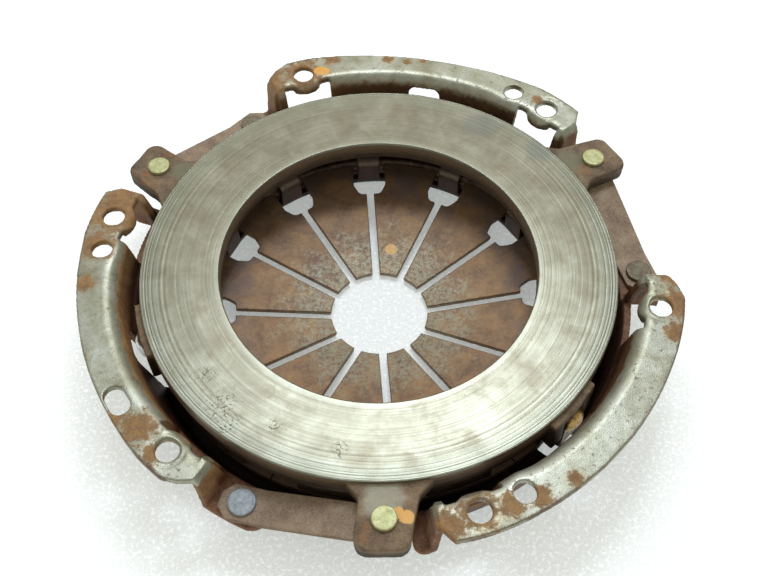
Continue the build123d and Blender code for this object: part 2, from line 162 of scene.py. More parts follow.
# The world's strength, and the lamps: name, place and size in metres, power in watts, and colour
world_strength = 0.44
world_colour = (1.0, 0.98, 0.9, 1.0)
LAMPS = (
    ("overhead", (0.15, 0.47, 1.06), 0.26, 2.65, (0.89, 0.98, 1.12)),
    ("left", (-0.15, 0.45, 1.06), 0.26, 1.5, (0.89, 0.98, 1.12)),
    ("wide", (0.0, 0.95, 0.9), 1.0, 2.5, (1.0, 1.0, 0.98)),
)

lattice_size = 32
RANDOM = np.random.RandomState(7)


# ---------------------------------------------------------------- mesh helpers


def polar(radius, angle, height=0.0):
    a = math.radians(angle)
    return np.array([radius * math.cos(a), radius * math.sin(a), height])


def smooth_step(value, low, high):
    t = np.clip((value - low) / (high - low), 0, 1)
    return t * t * (3 - 2 * t)


LATTICE = RANDOM.uniform(-1, 1, (lattice_size,) * 3)


def lumps(points, size, shift):
    """Smooth noise from -1 to 1 at points in millimetres, with bumps of about that size."""
    scaled = points / size + shift
    cell = np.floor(scaled).astype(int)
    part = scaled - cell
    part = part * part * (3 - 2 * part)
    total = np.zeros(len(points))
    for corner in range(8):
        step = np.array([corner & 1, corner >> 1 & 1, corner >> 2 & 1])
        weight = np.prod(np.where(step, part, 1 - part), axis=1)
        index = (cell + step) % lattice_size
        total += weight * LATTICE[index[:, 0], index[:, 1], index[:, 2]]
    return total


def uneven(points, outward, layers):
    """The points moved along their normals by layers of lumps."""
    rise = sum(height * lumps(points, width, shift) for height, width, shift in layers)
    return points + outward * rise[:, None]


def link(name, mesh):
    piece = bpy.data.objects.new(name, mesh)
    bpy.context.scene.collection.objects.link(piece)
    return piece


def coordinates(mesh):
    values = np.zeros(len(mesh.vertices) * 3)
    mesh.vertices.foreach_get("co", values)
    return values.reshape(-1, 3) / MM


def set_coordinates(mesh, points):
    mesh.vertices.foreach_set("co", (points * MM).ravel())
    mesh.update()


def normals(mesh):
    values = np.zeros(len(mesh.vertices) * 3, dtype=np.float32)
    mesh.vertex_normals.foreach_get("vector", values)
    return values.reshape(-1, 3).astype(float)


def apply_modifiers(piece):
    graph = bpy.context.evaluated_depsgraph_get()
    graph.update()
    mesh = bpy.data.meshes.new_from_object(piece.evaluated_get(graph))
    piece.modifiers.clear()
    old = piece.data
    piece.data = mesh
    bpy.data.meshes.remove(old)


def shade_smooth(mesh):
    mesh.polygons.foreach_set("use_smooth", [True] * len(mesh.polygons))
    mesh.update()


def worked_copy(name, node, voxel, rounds, keep=None, shape=None, share=1.0, extra=None):
    """A copy of a CAD node with rounded edges: remeshed, smoothed, shaped by a function, and thinned.

    The voxel is in millimetres. keep tells which vertices stay, and extra adds solids to be merged in.
    """
    work = bmesh.new()
    work.from_mesh(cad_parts[node].data)
    bmesh.ops.remove_doubles(work, verts=work.verts, dist=weld_distance * MM)
    if keep is not None:
        gone = [v for v in work.verts if not keep(v.co / MM)]
        bmesh.ops.delete(work, geom=gone, context="VERTS")
    if extra is not None:
        extra(work)
    mesh = bpy.data.meshes.new(name)
    work.to_mesh(mesh)
    work.free()
    piece = link(name, mesh)
    remesh = piece.modifiers.new("remesh", "REMESH")
    remesh.mode = "VOXEL"
    remesh.voxel_size = voxel * MM
    soften = piece.modifiers.new("soften", "SMOOTH")
    soften.factor = 0.5
    soften.iterations = rounds
    apply_modifiers(piece)
    if shape is not None:
        set_coordinates(piece.data, shape(coordinates(piece.data), normals(piece.data)))
    if share < 1:
        thin = piece.modifiers.new("thin", "DECIMATE")
        thin.ratio = share
        apply_modifiers(piece)
    shade_smooth(piece.data)
    return piece


def turned_copy(piece, name, angle):
    """The same mesh turned about the part's axis."""
    mesh = piece.data.copy()
    mesh.transform(Matrix.Rotation(math.radians(angle), 4, "Z"))
    return link(name, mesh)


def revolved(name, profile, steps):
    """A solid of revolution from (radius, height) pairs in millimetres, the first and last alike."""
    rows = np.array(profile)
    turns = np.linspace(0, 2 * math.pi, steps, endpoint=False)
    points = np.stack(
        [
            np.outer(np.cos(turns), rows[:, 0]),
            np.outer(np.sin(turns), rows[:, 0]),
            np.outer(np.ones(steps), rows[:, 1]),
        ],
        axis=-1,
    ).reshape(-1, 3)
    across = len(rows)
    faces = []
    for turn in range(steps):
        after = (turn + 1) % steps
        for row in range(across - 1):
            faces.append(
                (
                    turn * across + row,
                    after * across + row,
                    after * across + row + 1,
                    turn * across + row + 1,
                )
            )
    mesh = bpy.data.meshes.new(name)
    mesh.from_pydata((points * MM).tolist(), [], faces)
    work = bmesh.new()
    work.from_mesh(mesh)
    bmesh.ops.remove_doubles(work, verts=work.verts, dist=fine_weld_distance * MM)
    bmesh.ops.dissolve_degenerate(work, edges=work.edges, dist=shortest_edge * MM)
    bmesh.ops.recalc_face_normals(work, faces=work.faces)
    work.to_mesh(mesh)
    work.free()
    shade_smooth(mesh)
    return link(name, mesh)


# ------------------------------------------------------------ material helpers


def srgb(red, green, blue):
    """A colour from 0 to 255 as linear RGBA."""

    def linear(value):
        value /= 255
        return value / 12.92 if value <= 0.04045 else ((value + 0.055) / 1.055) ** 2.4

    return (linear(red), linear(green), linear(blue), 1.0)


class Finish:
    """A small builder of node materials. Positions are in millimetres, in the part's own frame."""

    def __init__(self, name):
        self.material = bpy.data.materials.new(name)
        self.material.use_nodes = True
        self.tree = self.material.node_tree
        self.tree.nodes.clear()
        self.shader = self.node("ShaderNodeBsdfPrincipled")
        output = self.node("ShaderNodeOutputMaterial")
        self.tree.links.new(self.shader.outputs["BSDF"], output.inputs["Surface"])
        coords = self.node("ShaderNodeTexCoord")
        scale = self.node("ShaderNodeVectorMath", operation="SCALE")
        self.tree.links.new(coords.outputs["Object"], scale.inputs[0])
        scale.inputs["Scale"].default_value = 1 / MM
        self.position = scale.outputs[0]
        split = self.node("ShaderNodeSeparateXYZ")
        self.tree.links.new(self.position, split.inputs[0])
        self.x, self.y, self.z = split.outputs
        self.radius = self.math("SQRT", self.add(self.mul(self.x, self.x), self.mul(self.y, self.y)))

    def node(self, kind, **settings):
        made = self.tree.nodes.new(kind)
        for key, value in settings.items():
            setattr(made, key, value)
        return made

    def feed(self, socket, value):
        """Links a node's output to a socket, or sets the socket to a number or colour."""
        if isinstance(value, bpy.types.NodeSocket):
            self.tree.links.new(value, socket)
        else:
            socket.default_value = value

    def math(self, operation, first, second=None):
        made = self.node("ShaderNodeMath", operation=operation)
        self.feed(made.inputs[0], first)
        if second is not None:
            self.feed(made.inputs[1], second)
        return made.outputs[0]

    def add(self, first, second):
        return self.math("ADD", first, second)

    def mul(self, first, second):
        return self.math("MULTIPLY", first, second)

    def either(self, *masks):
        total = masks[0]
        for mask in masks[1:]:
            total = self.math("MAXIMUM", total, mask)
        return total

    def both(self, *masks):
        total = masks[0]
        for mask in masks[1:]:
            total = self.mul(total, mask)
        return total

    def opposite(self, mask):
        return self.math("SUBTRACT", 1.0, mask)

    def step(self, value, low, high, start=0.0, end=1.0):
        """Goes smoothly from start to end as the value goes from low to high."""
        made = self.node("ShaderNodeMapRange", interpolation_type="SMOOTHSTEP")
        if low > high:
            low, high, start, end = high, low, end, start
        ends = {"From Min": low, "From Max": high, "To Min": start, "To Max": end}
        for socket, number in ends.items():
            made.inputs[socket].default_value = number
        self.feed(made.inputs["Value"], value)
        return made.outputs["Result"]

    def vector(self, x, y, z):
        made = self.node("ShaderNodeCombineXYZ")
        for socket, value in zip(made.inputs, (x, y, z)):
            self.feed(socket, value)
        return made.outputs[0]

    def noise(self, size, detail=3.0, rough=0.55, twist=0.0, where=None):
        """Noise from 0 to 1, with blotches about size millimetres across."""
        made = self.node("ShaderNodeTexNoise")
        self.feed(made.inputs["Vector"], self.position if where is None else where)
        made.inputs["Scale"].default_value = 1 / size
        made.inputs["Detail"].default_value = detail
        made.inputs["Roughness"].default_value = rough
        made.inputs["Distortion"].default_value = twist
        return made.outputs["Fac"]

    def rings(self, pitch, run, detail, rough):
        """Noise drawn out round the axis, as ground marks are: pitch across, and finer with a larger run."""
        turn_x = self.math("DIVIDE", self.x, self.radius)
        turn_y = self.math("DIVIDE", self.y, self.radius)
        where = self.vector(
            self.mul(turn_x, run),
            self.mul(turn_y, run),
            self.mul(self.radius, 1 / pitch),
        )
        return self.noise(1.0, detail, rough, where=where)

    def centred(self, noise, swing):
        """A noise moved to swing about 0, by up to half of swing each way."""
        return self.mul(self.add(noise, -0.5), swing)

    def distance(self, centre):
        made = self.node("ShaderNodeVectorMath", operation="DISTANCE")
        self.feed(made.inputs[0], self.position)
        made.inputs[1].default_value = tuple(centre)
        return made.outputs["Value"]

    def near(self, centre, reach, soft=0.35, wobble=0.6):
        """A ragged patch round a point: 1 inside reach, 0 outside."""
        ragged = self.centred(self.noise(reach * 0.45 + 1.0, 5.0, 0.62), reach * wobble * 2)
        distance = self.add(self.distance(centre), ragged)
        return self.step(distance, reach * (1 + soft), reach * (1 - soft))

    def patches(self, spots, height=0.0, soft=0.35, wobble=0.6):
        """Ragged patches at one height, from rows of radius, angle and reach."""
        return self.either(
            *[self.near(polar(radius, angle, height), reach, soft, wobble) for radius, angle, reach in spots]
        )

    def mix(self, mask, first, second):
        made = self.node("ShaderNodeMix", data_type="RGBA")
        self.feed(made.inputs["Factor"], mask)
        self.feed(made.inputs[6], first)
        self.feed(made.inputs[7], second)
        return made.outputs[2]

    def tint(self, colour, mask, amount, new):
        """The colour turned towards a new one, by amount where the mask is 1."""
        return self.mix(self.mul(mask, amount), colour, new)

    def blend(self, mask, first, second):
        made = self.node("ShaderNodeMix", data_type="FLOAT")
        self.feed(made.inputs["Factor"], mask)
        self.feed(made.inputs[2], first)
        self.feed(made.inputs[3], second)
        return made.outputs[0]

    def ramp(self, value, *stops):
        """A colour ramp from pairs of position and colour."""
        made = self.node("ShaderNodeValToRGB")
        self.feed(made.inputs[0], value)
        elements = made.color_ramp.elements
        while len(elements) < len(stops):
            elements.new(0.5)
        for element, (position, colour) in zip(elements, stops):
            element.position = position
            element.color = colour
        return made.outputs[0]

    def bump(self, height, depth, below=None):
        """A bump as deep as depth millimetres where height goes from 0 to 1."""
        made = self.node("ShaderNodeBump")
        made.inputs["Distance"].default_value = depth * MM
        self.feed(made.inputs["Height"], height)
        if below is not None:
            self.tree.links.new(below, made.inputs["Normal"])
        return made.outputs[0]

    def done(self, colour, metallic, roughness, normal):
        self.feed(self.shader.inputs["Base Color"], colour)
        self.feed(self.shader.inputs["Metallic"], metallic)
        self.feed(self.shader.inputs["Roughness"], roughness)
        self.tree.links.new(normal, self.shader.inputs["Normal"])
        return self.material


# ------------------------------------------------------------------- materials

RUST_BROWN = srgb(126, 94, 62)
RUST_MID = srgb(160, 120, 74)
RUST_ORANGE = srgb(188, 144, 88)
OXIDE_BLACK = srgb(40, 31, 27)
OXIDE_BROWN = srgb(76, 54, 42)
OXIDE_RED = srgb(106, 66, 48)
PAINT_ORANGE = srgb(250, 184, 84)
STEEL_OLIVE = srgb(138, 134, 110)
STEEL_GREEN = srgb(162, 162, 142)
STEEL_PALE = srgb(184, 186, 172)
IRON_DARK = srgb(116, 113, 96)
IRON_MID = srgb(132, 130, 112)
IRON_PALE = srgb(150, 149, 132)
IRON_STAIN = srgb(122, 112, 90)
IRON_BLUE = srgb(112, 118, 112)
IRON_OUTER = srgb(130, 134, 120)
IRON_BORE_EDGE_HIGHLIGHT = srgb(164, 164, 148)
PIT_GREY = srgb(86, 84, 72)
MARK_BROWN = srgb(124, 116, 92)
SIDE_GRIME = (srgb(104, 84, 66), srgb(142, 118, 94))
BORE_GRIME_PAINTED_LIGHT = (srgb(116, 96, 76), srgb(150, 130, 106))

# Patches on the ring's face: radius, angle and reach
cool_spots = [(92.6, 39.6, 6.0), (87.0, 58.0, 7.0)]
pit_spots = [
    (87.3, -132.6, 5.0),
    (91.0, -128.0, 4.0),
    (84.0, -100.0, 2.5),
    (83.0, -142.0, 3.0),
    (83.0, -118.0, 2.5),
]
circle_mark = (72.3, -125.7)
circle_mark_radius = 2.7
ring_anisotropy = 0.4


def ground_iron():
    """The machined friction face: olive grey, with circumferential marks, stains and pits, a painted
    highlight along the bore's edge and painted light on the bore's wall.
    """
    f = Finish("ground_iron")
    lines = f.rings(0.5, 0.9, 5.0, 0.78)
    fine = f.rings(0.3, 2.0, 3.0, 0.7)
    marks = f.blend(0.3, lines, fine)
    blotch = f.noise(30.0, 6.0, 0.62, 0.5)
    cloud = f.noise(11.0, 6.0, 0.66, 0.4)
    speck = f.noise(0.9, 2.0, 0.5)
    shade = f.blend(0.4, f.blend(0.3, marks, blotch), cloud)
    colour = f.ramp(shade, (0.4, IRON_DARK), (0.5, IRON_MID), (0.6, IRON_PALE))
    stain = f.both(f.step(f.noise(15.0, 6.0, 0.66), 0.48, 0.68), f.step(fine, 0.3, 0.6, 0.5, 1.0))
    colour = f.tint(colour, stain, 0.55, IRON_STAIN)
    colour = f.tint(colour, f.step(f.radius, 87.0, 92.0), 0.35, IRON_OUTER)
    # A pale band along the bore's edge is a painted highlight of that edge.
    bore_edge = f.step(f.radius, face_inner_radius + 3.2, face_inner_radius + 1.4)
    colour = f.tint(colour, bore_edge, 0.4, IRON_BORE_EDGE_HIGHLIGHT)
    colour = f.tint(colour, f.patches(cool_spots, face_height), 0.5, IRON_BLUE)
    pit_area = f.patches(pit_spots, face_height, 0.8, 1.4)
    pits = f.both(f.step(speck, 0.56, 0.64), pit_area)
    dots = f.step(f.noise(1.6, 1.0, 0.4), 0.79, 0.82)
    dark = f.either(f.mul(pits, 0.55), f.mul(dots, 0.7))
    colour = f.mix(dark, colour, PIT_GREY)
    off_circle = f.add(f.distance(polar(*circle_mark, face_height)), -circle_mark_radius)
    circle = f.step(f.math("ABSOLUTE", off_circle), 0.9, 0.2, 0.0, 0.45)
    colour = f.mix(circle, colour, MARK_BROWN)
    # The ring's sides take grime colours; in the bore they are lighter, as painted light on its wall.
    side = f.step(f.z, face_height - 0.7, face_height - 1.3)
    in_bore = f.step(f.radius, 72.0, 68.0)
    side_grime = f.mix(f.noise(4.0, 5.0, 0.7), *SIDE_GRIME)
    bore_grime_painted_light = f.mix(f.noise(4.0, 5.0, 0.7), *BORE_GRIME_PAINTED_LIGHT)
    colour = f.mix(side, colour, f.mix(in_bore, side_grime, bore_grime_painted_light))
    rough = f.blend(f.step(marks, 0.38, 0.62), 0.34, 0.285)
    rough = f.blend(f.either(dark, side), f.add(rough, f.mul(stain, 0.05)), 0.6)
    metal = f.blend(f.either(f.mul(dark, 0.5), f.mul(side, 0.75)), 0.85, 0.2)
    normal = f.bump(fine, 0.012)
    normal = f.bump(f.opposite(pits), 0.03, below=normal)
    f.shader.inputs["Anisotropic"].default_value = ring_anisotropy
    tangent = f.node("ShaderNodeTangent", direction_type="RADIAL", axis="Z")
    f.tree.links.new(tangent.outputs[0], f.shader.inputs["Tangent"])
    return f.done(colour, metal, rough, normal)


CAST_DARK = srgb(88, 70, 54)
CAST_MID = srgb(126, 106, 82)
CAST_PALE = srgb(156, 134, 104)
CAST_RUST = srgb(164, 112, 66)
CAST_GREEN = srgb(136, 132, 108)
CAST_WORN = srgb(160, 156, 136)
CAST_PAINTED_SHADE = srgb(44, 33, 27)
LUG_PAINT = (srgb(244, 160, 60), srgb(255, 214, 130))

# Patches on the lugs' upper faces: radius, angle and reach
green_spots = [(99.5, lug_angles[0] + 3, 6.0), (99.0, lug_angles[1] - 2, 5.0)]
worn_spot, worn_reach = (101.0, lug_angles[2]), 7.5
lug_paint_spots = [(108.5, lug_angles[2] + 4.2, 2.6), (107.0, lug_angles[2] + 2.6, 2.2)]


def cast_iron():
    """The unmachined casting: brown and granular, near black low down as painted shade, worn grey beside the
    ring.
    """
    f = Finish("cast_iron")
    grain = f.noise(0.9, 4.0, 0.7)
    blotch = f.noise(9.0, 5.0, 0.6, 0.4)
    colour = f.ramp(f.blend(0.4, blotch, grain), (0.36, CAST_DARK), (0.5, CAST_MID), (0.64, CAST_PALE))
    top = f.step(f.z, lug_top - 1.2, lug_top - 0.2)
    rust = f.both(top, f.step(f.noise(7.0, 5.0, 0.65), 0.52, 0.68))
    colour = f.tint(colour, rust, 0.6, CAST_RUST)
    green = f.patches(green_spots, lug_top)
    colour = f.tint(colour, green, 0.8, CAST_GREEN)
    worn = f.near(polar(*worn_spot, lug_top), worn_reach)
    colour = f.tint(colour, worn, 0.8, CAST_WORN)
    # Painted shade: below the lugs' tops the casting goes near black.
    deep_shade = f.step(f.z, lug_top - 1.4, lug_top - 4.5)
    colour = f.tint(colour, deep_shade, 0.72, CAST_PAINTED_SHADE)
    paint = f.both(f.patches(lug_paint_spots, lug_top, 0.15, 0.5), top)
    colour = f.mix(paint, colour, f.mix(blotch, *LUG_PAINT))
    rough = f.blend(paint, f.blend(worn, 0.66, 0.48), 0.5)
    metal = f.both(f.opposite(paint), f.blend(f.either(worn, green), 0.15, 0.5))
    normal = f.bump(grain, 0.16)
    normal = f.bump(blotch, 0.35, below=normal)
    return f.done(colour, metal, rough, normal)


PAD_DIRT = srgb(118, 98, 72)
WALL_RED = (srgb(84, 46, 34), srgb(132, 78, 52))
SHELF_DARK = srgb(112, 78, 56)
SHELF_MID = srgb(146, 104, 76)
SHELF_PALE = srgb(176, 136, 102)
PAD_STAIN = srgb(152, 130, 96)
PAD_EDGE_RUST_AND_SHADE = srgb(116, 84, 64)
SCRATCH_GREY = srgb(206, 206, 192)
COVER_FLOOR_SHADE = srgb(30, 23, 20)
TAB_HIGHLIGHT_COLOURS = (srgb(112, 92, 78), srgb(176, 160, 142))

# Patches on the pads: radius, angle and reach
rust_spots = [
    (113.0, 107.0, 9.0),
    (114.0, 115.0, 8.0),
    (118.5, 100.0, 4.0),
    (113.0, 167.0, 10.0),
    (115.0, 175.5, 7.0),
    (113.0, 162.0, 9.0),
    (117.0, 184.5, 4.0),
    (115.0, 220.0, 6.5),
    (117.5, 226.0, 4.0),
    (118.5, 215.5, 3.5),
    (113.5, 287.0, 7.0),
    (115.5, 281.0, 6.0),
    (115.0, 292.5, 4.5),
    (116.5, 298.0, 4.0),
    (118.0, 305.0, 3.0),
    (118.5, 348.5, 7.0),
    (117.0, 355.0, 6.0),
    (119.0, 342.0, 4.0),
    (116.5, 87.0, 2.6),
    (115.0, 82.5, 2.0),
    (116.5, 79.0, 1.6),
    (114.5, 50.5, 2.4),
]
pad_paint_spots = [(112.4, 103.2, 2.7), (111.4, 102.0, 2.2)]


def cover_regions(f, speckle, blotch):
    """Masks of the cover, by height and radius: each is 1 inside its region."""
    ragged = f.centred(f.noise(4.5, 6.0, 0.68), 7.5)
    height = f.add(f.z, ragged)
    below_pad = f.step(height, -2.8, -5.2)
    bend_line = f.both(f.step(height, -1.6, -3.4), f.step(height, -15.0, -8.0))
    left = f.step(f.x, 10.0, -50.0)
    front = f.step(f.y, -20.0, -60.0)
    low_wall = f.both(below_pad, f.step(f.z, -34.0, -28.0))
    shelf = f.both(f.step(f.z, -15.5, -17.5), f.step(f.radius, 99.5, 102.0))
    end_wall = f.both(f.step(f.z, -3.0, -5.0), f.step(f.radius, 107.0, 109.0), f.step(f.z, -20.0, -18.5))
    stained = f.both(f.patches(rust_spots, 0.0, 0.75, 0.9), f.opposite(below_pad))
    rusted = f.step(f.add(stained, f.centred(f.blend(0.35, speckle, blotch), 3.2)), 0.2, 0.9)
    edge_line = f.step(f.add(f.radius, f.mul(speckle, 3.4)), 121.8, 123.0)
    return {
        "below_pad": below_pad,
        "red_wall": f.both(low_wall, f.either(f.both(left, f.step(f.y, 10.0, -25.0)), f.mul(front, 0.6))),
        "outside": f.either(shelf, end_wall),
        # Rust along the bend where the wall turns down, stronger on the left: rust brightened as painted
        # light.
        "lit_bend": f.both(bend_line, f.blend(left, 0.3, 0.95)),
        "stained": stained,
        "rusted": f.both(rusted, f.step(stained, 0.02, 0.25)),
        # A dark line along the pads' outer edges: rust, darkened further as painted shade of the sheet's
        # edge.
        "edge": f.both(edge_line, f.step(blotch, 0.42, 0.55)),
        # The cover's floor, which is painted dark as shade.
        "floor": f.step(f.z, -31.0, -36.0),
        "paint": f.both(f.patches(pad_paint_spots, 0.0, 0.12, 0.5), f.step(f.z, -0.8, -0.4)),
        # The tabs' bent tops, painted lighter as a highlight.
        "tab": f.both(f.step(f.radius, 84.0, 82.0), f.step(f.z, -25.5, -24.0)),
    }


def cover_steel():
    """The pressed cover: bare grey-green pads, orange rust round the holes, rust brightened as painted light
    along the bends, dark walls, painted shade on the floor and painted highlights on the tabs' tops.
    """
    f = Finish("cover_steel")
    grain = f.noise(0.7, 4.0, 0.72)
    speckle = f.noise(2.6, 6.0, 0.72, 0.4)
    blotch = f.noise(15.0, 6.0, 0.64, 0.6)
    at = cover_regions(f, speckle, blotch)
    pad_shade = f.blend(0.25, blotch, speckle)
    pad = f.ramp(pad_shade, (0.36, STEEL_OLIVE), (0.49, STEEL_GREEN), (0.62, STEEL_PALE))
    dirt = f.step(speckle, 0.55, 0.66)
    pad = f.tint(pad, dirt, 0.6, PAD_DIRT)
    wall_shade = f.blend(0.5, blotch, speckle)
    wall = f.ramp(wall_shade, (0.36, OXIDE_BLACK), (0.5, OXIDE_BROWN), (0.66, OXIDE_RED))
    rust_shade = f.blend(0.45, f.noise(5.0, 6.0, 0.68), grain)
    rust = f.ramp(rust_shade, (0.38, RUST_BROWN), (0.5, RUST_MID), (0.61, RUST_ORANGE))
    shelf_rust = f.ramp(rust_shade, (0.38, SHELF_DARK), (0.5, SHELF_MID), (0.62, SHELF_PALE))
    colour = f.mix(at["below_pad"], pad, wall)
    colour = f.tint(colour, at["red_wall"], 0.75, f.mix(speckle, *WALL_RED))
    colour = f.tint(colour, at["outside"], 0.9, shelf_rust)
    # Rust brightened as painted light along the bend.
    colour = f.tint(colour, at["lit_bend"], 0.85, rust)
    colour = f.tint(colour, at["stained"], 0.55, PAD_STAIN)
    colour = f.tint(colour, at["rusted"], 0.9, rust)
    # Rust and painted shade along the pads' outer edges.
    colour = f.tint(colour, at["edge"], 0.75, PAD_EDGE_RUST_AND_SHADE)
    scratch_where = f.vector(f.mul(f.x, 0.12), f.mul(f.y, 0.12), f.mul(f.radius, 2.2))
    scratches = f.step(f.noise(1.0, 4.0, 0.7, where=scratch_where), 0.66, 0.72, 0.0, 0.6)
    colour = f.mix(f.both(scratches, f.opposite(at["below_pad"])), colour, SCRATCH_GREY)
    # Painted shade darkens the cover's floor.
    colour = f.tint(colour, at["floor"], 0.75, COVER_FLOOR_SHADE)
    colour = f.mix(at["paint"], colour, PAINT_ORANGE)
    # Painted highlight on the tabs' tops.
    colour = f.tint(colour, at["tab"], 0.85, f.mix(speckle, *TAB_HIGHLIGHT_COLOURS))
    rust_dirt_and_painted_light = f.either(
        at["rusted"], at["lit_bend"], f.mul(at["edge"], 0.7), f.mul(dirt, 0.5), at["outside"]
    )
    metal = f.both(f.opposite(at["paint"]), f.blend(rust_dirt_and_painted_light, f.blend(at["below_pad"], 0.6, 0.3), 0.08))
    rough = f.blend(rust_dirt_and_painted_light, f.blend(at["below_pad"], 0.34, 0.48), 0.7)
    normal = f.bump(grain, 0.04)
    normal = f.bump(f.either(f.mul(speckle, 0.4), f.mul(rust_dirt_and_painted_light, speckle)), 0.12, below=normal)
    return f.done(colour, metal, f.add(rough, f.centred(speckle, 0.2)), normal)


SPRING_DARK = srgb(116, 90, 70)
SPRING_MID = srgb(142, 112, 82)
SPRING_PALE = srgb(162, 128, 90)
SPRING_RUST = srgb(168, 124, 78)
SPRING_MAUVE = srgb(118, 102, 98)
SPRING_RIM_SHADE = srgb(72, 56, 48)
SPRING_FLECK = srgb(176, 166, 140)
SPRING_PIT = srgb(58, 44, 36)
TIP_COLOURS = (srgb(118, 120, 102), srgb(154, 158, 140))
FINGER_PAINT = (srgb(244, 176, 80), srgb(255, 220, 150))

finger_paint_dot = (5.69, 32.34, -36.0)
finger_paint_reach = 2.6


def spring_steel():
    """The diaphragm fingers: brown and mauve oxide, orange rust, worn green-grey speckled tips, and painted
    shade towards the rim.
    """
    f = Finish("spring_steel")
    grain = f.noise(0.6, 4.0, 0.72)
    flake = f.noise(1.8, 6.0, 0.74)
    blotch = f.noise(11.0, 6.0, 0.64, 0.5)
    shade = f.blend(0.35, blotch, flake)
    colour = f.ramp(shade, (0.37, SPRING_DARK), (0.49, SPRING_MID), (0.61, SPRING_PALE))
    colour = f.mix(f.step(f.noise(8.0, 5.0, 0.66), 0.52, 0.7, 0.0, 0.5), colour, SPRING_RUST)
    mauve = f.both(f.step(f.radius, 52.0, 62.0), f.step(f.noise(14.0, 4.0, 0.5), 0.42, 0.6))
    colour = f.tint(colour, mauve, 0.7, SPRING_MAUVE)
    ragged = f.add(f.radius, f.centred(f.noise(7.0, 6.0, 0.72), 62.0))
    tips = f.step(ragged, 48.0, 30.0)
    flecks = f.step(f.add(flake, f.centred(grain, 0.5)), 0.36, 0.6)
    worn = f.both(tips, flecks)
    colour = f.tint(colour, worn, 0.75, f.mix(f.noise(3.0, 5.0, 0.7), *TIP_COLOURS))
    light_fleck = f.both(f.step(f.noise(1.2, 4.0, 0.8), 0.6, 0.7), f.step(ragged, 66.0, 46.0))
    colour = f.tint(colour, light_fleck, 0.7, SPRING_FLECK)
    # Painted shade where the fingers run in under the plate, darker towards their rim.
    colour = f.tint(colour, f.step(f.radius, 68.0, 73.0), 0.45, SPRING_RIM_SHADE)
    dot = f.near(finger_paint_dot, finger_paint_reach, 0.1, 0.1)
    colour = f.mix(dot, colour, f.mix(f.noise(1.5, 3.0), *FINGER_PAINT))
    pits = f.step(f.noise(1.5, 3.0, 0.6), 0.68, 0.75)
    colour = f.tint(colour, pits, 0.65, SPRING_PIT)
    metal = f.both(f.opposite(dot), f.blend(worn, 0.35, 0.6))
    rough = f.blend(worn, 0.5, 0.42)
    normal = f.bump(grain, 0.04)
    normal = f.bump(flake, 0.1, below=normal)
    return f.done(colour, metal, rough, normal)


STRAP_DARK = srgb(118, 98, 80)
STRAP_MID = srgb(158, 136, 112)
STRAP_PALE = srgb(186, 166, 140)


def strap_steel():
    """The drive straps: granular brown rust."""
    f = Finish("strap_steel")
    grain = f.noise(0.8, 5.0, 0.75)
    blotch = f.noise(8.0, 5.0, 0.6)
    shade = f.blend(0.5, blotch, grain)
    colour = f.ramp(shade, (0.36, STRAP_DARK), (0.5, STRAP_MID), (0.64, STRAP_PALE))
    return f.done(colour, 0.25, f.blend(blotch, 0.5, 0.66), f.bump(grain, 0.08))


def drawn_steel(name, size, shades, metal, rough, bump):
    """Drawn wire or strip: three shades from dark to pale, in blotches of that size."""
    f = Finish(name)
    blotch = f.noise(size, 5.0, 0.65)
    colour = f.ramp(blotch, *zip((0.36, 0.52, 0.7), shades))
    return f.done(colour, metal, f.blend(blotch, *rough), f.bump(f.noise(0.8, 4.0, 0.7), bump))


def wire_steel():
    """The pivot wires: dark drawn steel with a little rust."""
    shades = (srgb(60, 48, 42), srgb(96, 76, 60), srgb(134, 112, 90))
    return drawn_steel("wire_steel", 5.0, shades, 0.5, (0.6, 0.4), 0.06)


def clip_steel():
    """The lifting clips: plain strip, darkened, with worn grey faces."""
    shades = (srgb(78, 64, 54), srgb(122, 112, 98), srgb(160, 156, 144))
    return drawn_steel("clip_steel", 4.0, shades, 0.55, (0.55, 0.38), 0.05)


def rivet_metal(name, dark, light, dull, metal, rough):
    """A rivet's finish: a light coat of one colour, scuffed to another, with dull specks."""
    f = Finish(name)
    scuff = f.noise(2.4, 6.0, 0.72, 0.8)
    speck = f.noise(0.7, 5.0, 0.75)
    colour = f.ramp(scuff, (0.38, dark), (0.6, light))
    worn = f.step(speck, 0.56, 0.66)
    colour = f.tint(colour, worn, 0.6, dull)
    normal = f.bump(f.blend(0.5, scuff, speck), 0.08)
    return f.done(colour, metal, f.blend(worn, rough, rough + 0.2), normal)


# ---------------------------------------------------------------------- pieces


def cover_shape(points, outward):
    """Bolt-face imprints, bulges beside the dowel holes, and a slight waviness of the pressing."""
    result = uneven(points, outward, cover_waves)
    radius = np.hypot(points[:, 0], points[:, 1])
    on_top = smooth_step(points[:, 2], *pad_top_band)
    for angle in bolt_angles:
        away = np.linalg.norm(points[:, :2] - polar(bolt_circle_radius, angle)[:2], axis=1)
        pressed = smooth_step(away, *imprint_radii) * on_top
        result[:, 2] -= imprint_depth * pressed
        rounded = smooth_step(away, bolt_hole_radius + hole_edge_width, bolt_hole_radius) * on_top
        result[:, 2] -= hole_edge_depth * rounded
    for angle in dowel_angles:
        centre = polar(bulge_radius, angle + bulge_turn, bulge_height)
        away = np.linalg.norm((points - centre) * bulge_stretch, axis=1)
        inward = -polar(1.0, angle)
        swell = bulge_rise * np.exp(-((away / bulge_size) ** 2)) * (radius > bulge_inner_limit)
        result += swell[:, None] * (inward * bulge_inward + np.array([0, 0, bulge_upward]))
    result[:, 2] = np.minimum(result[:, 2], pad_ceiling)
    return result


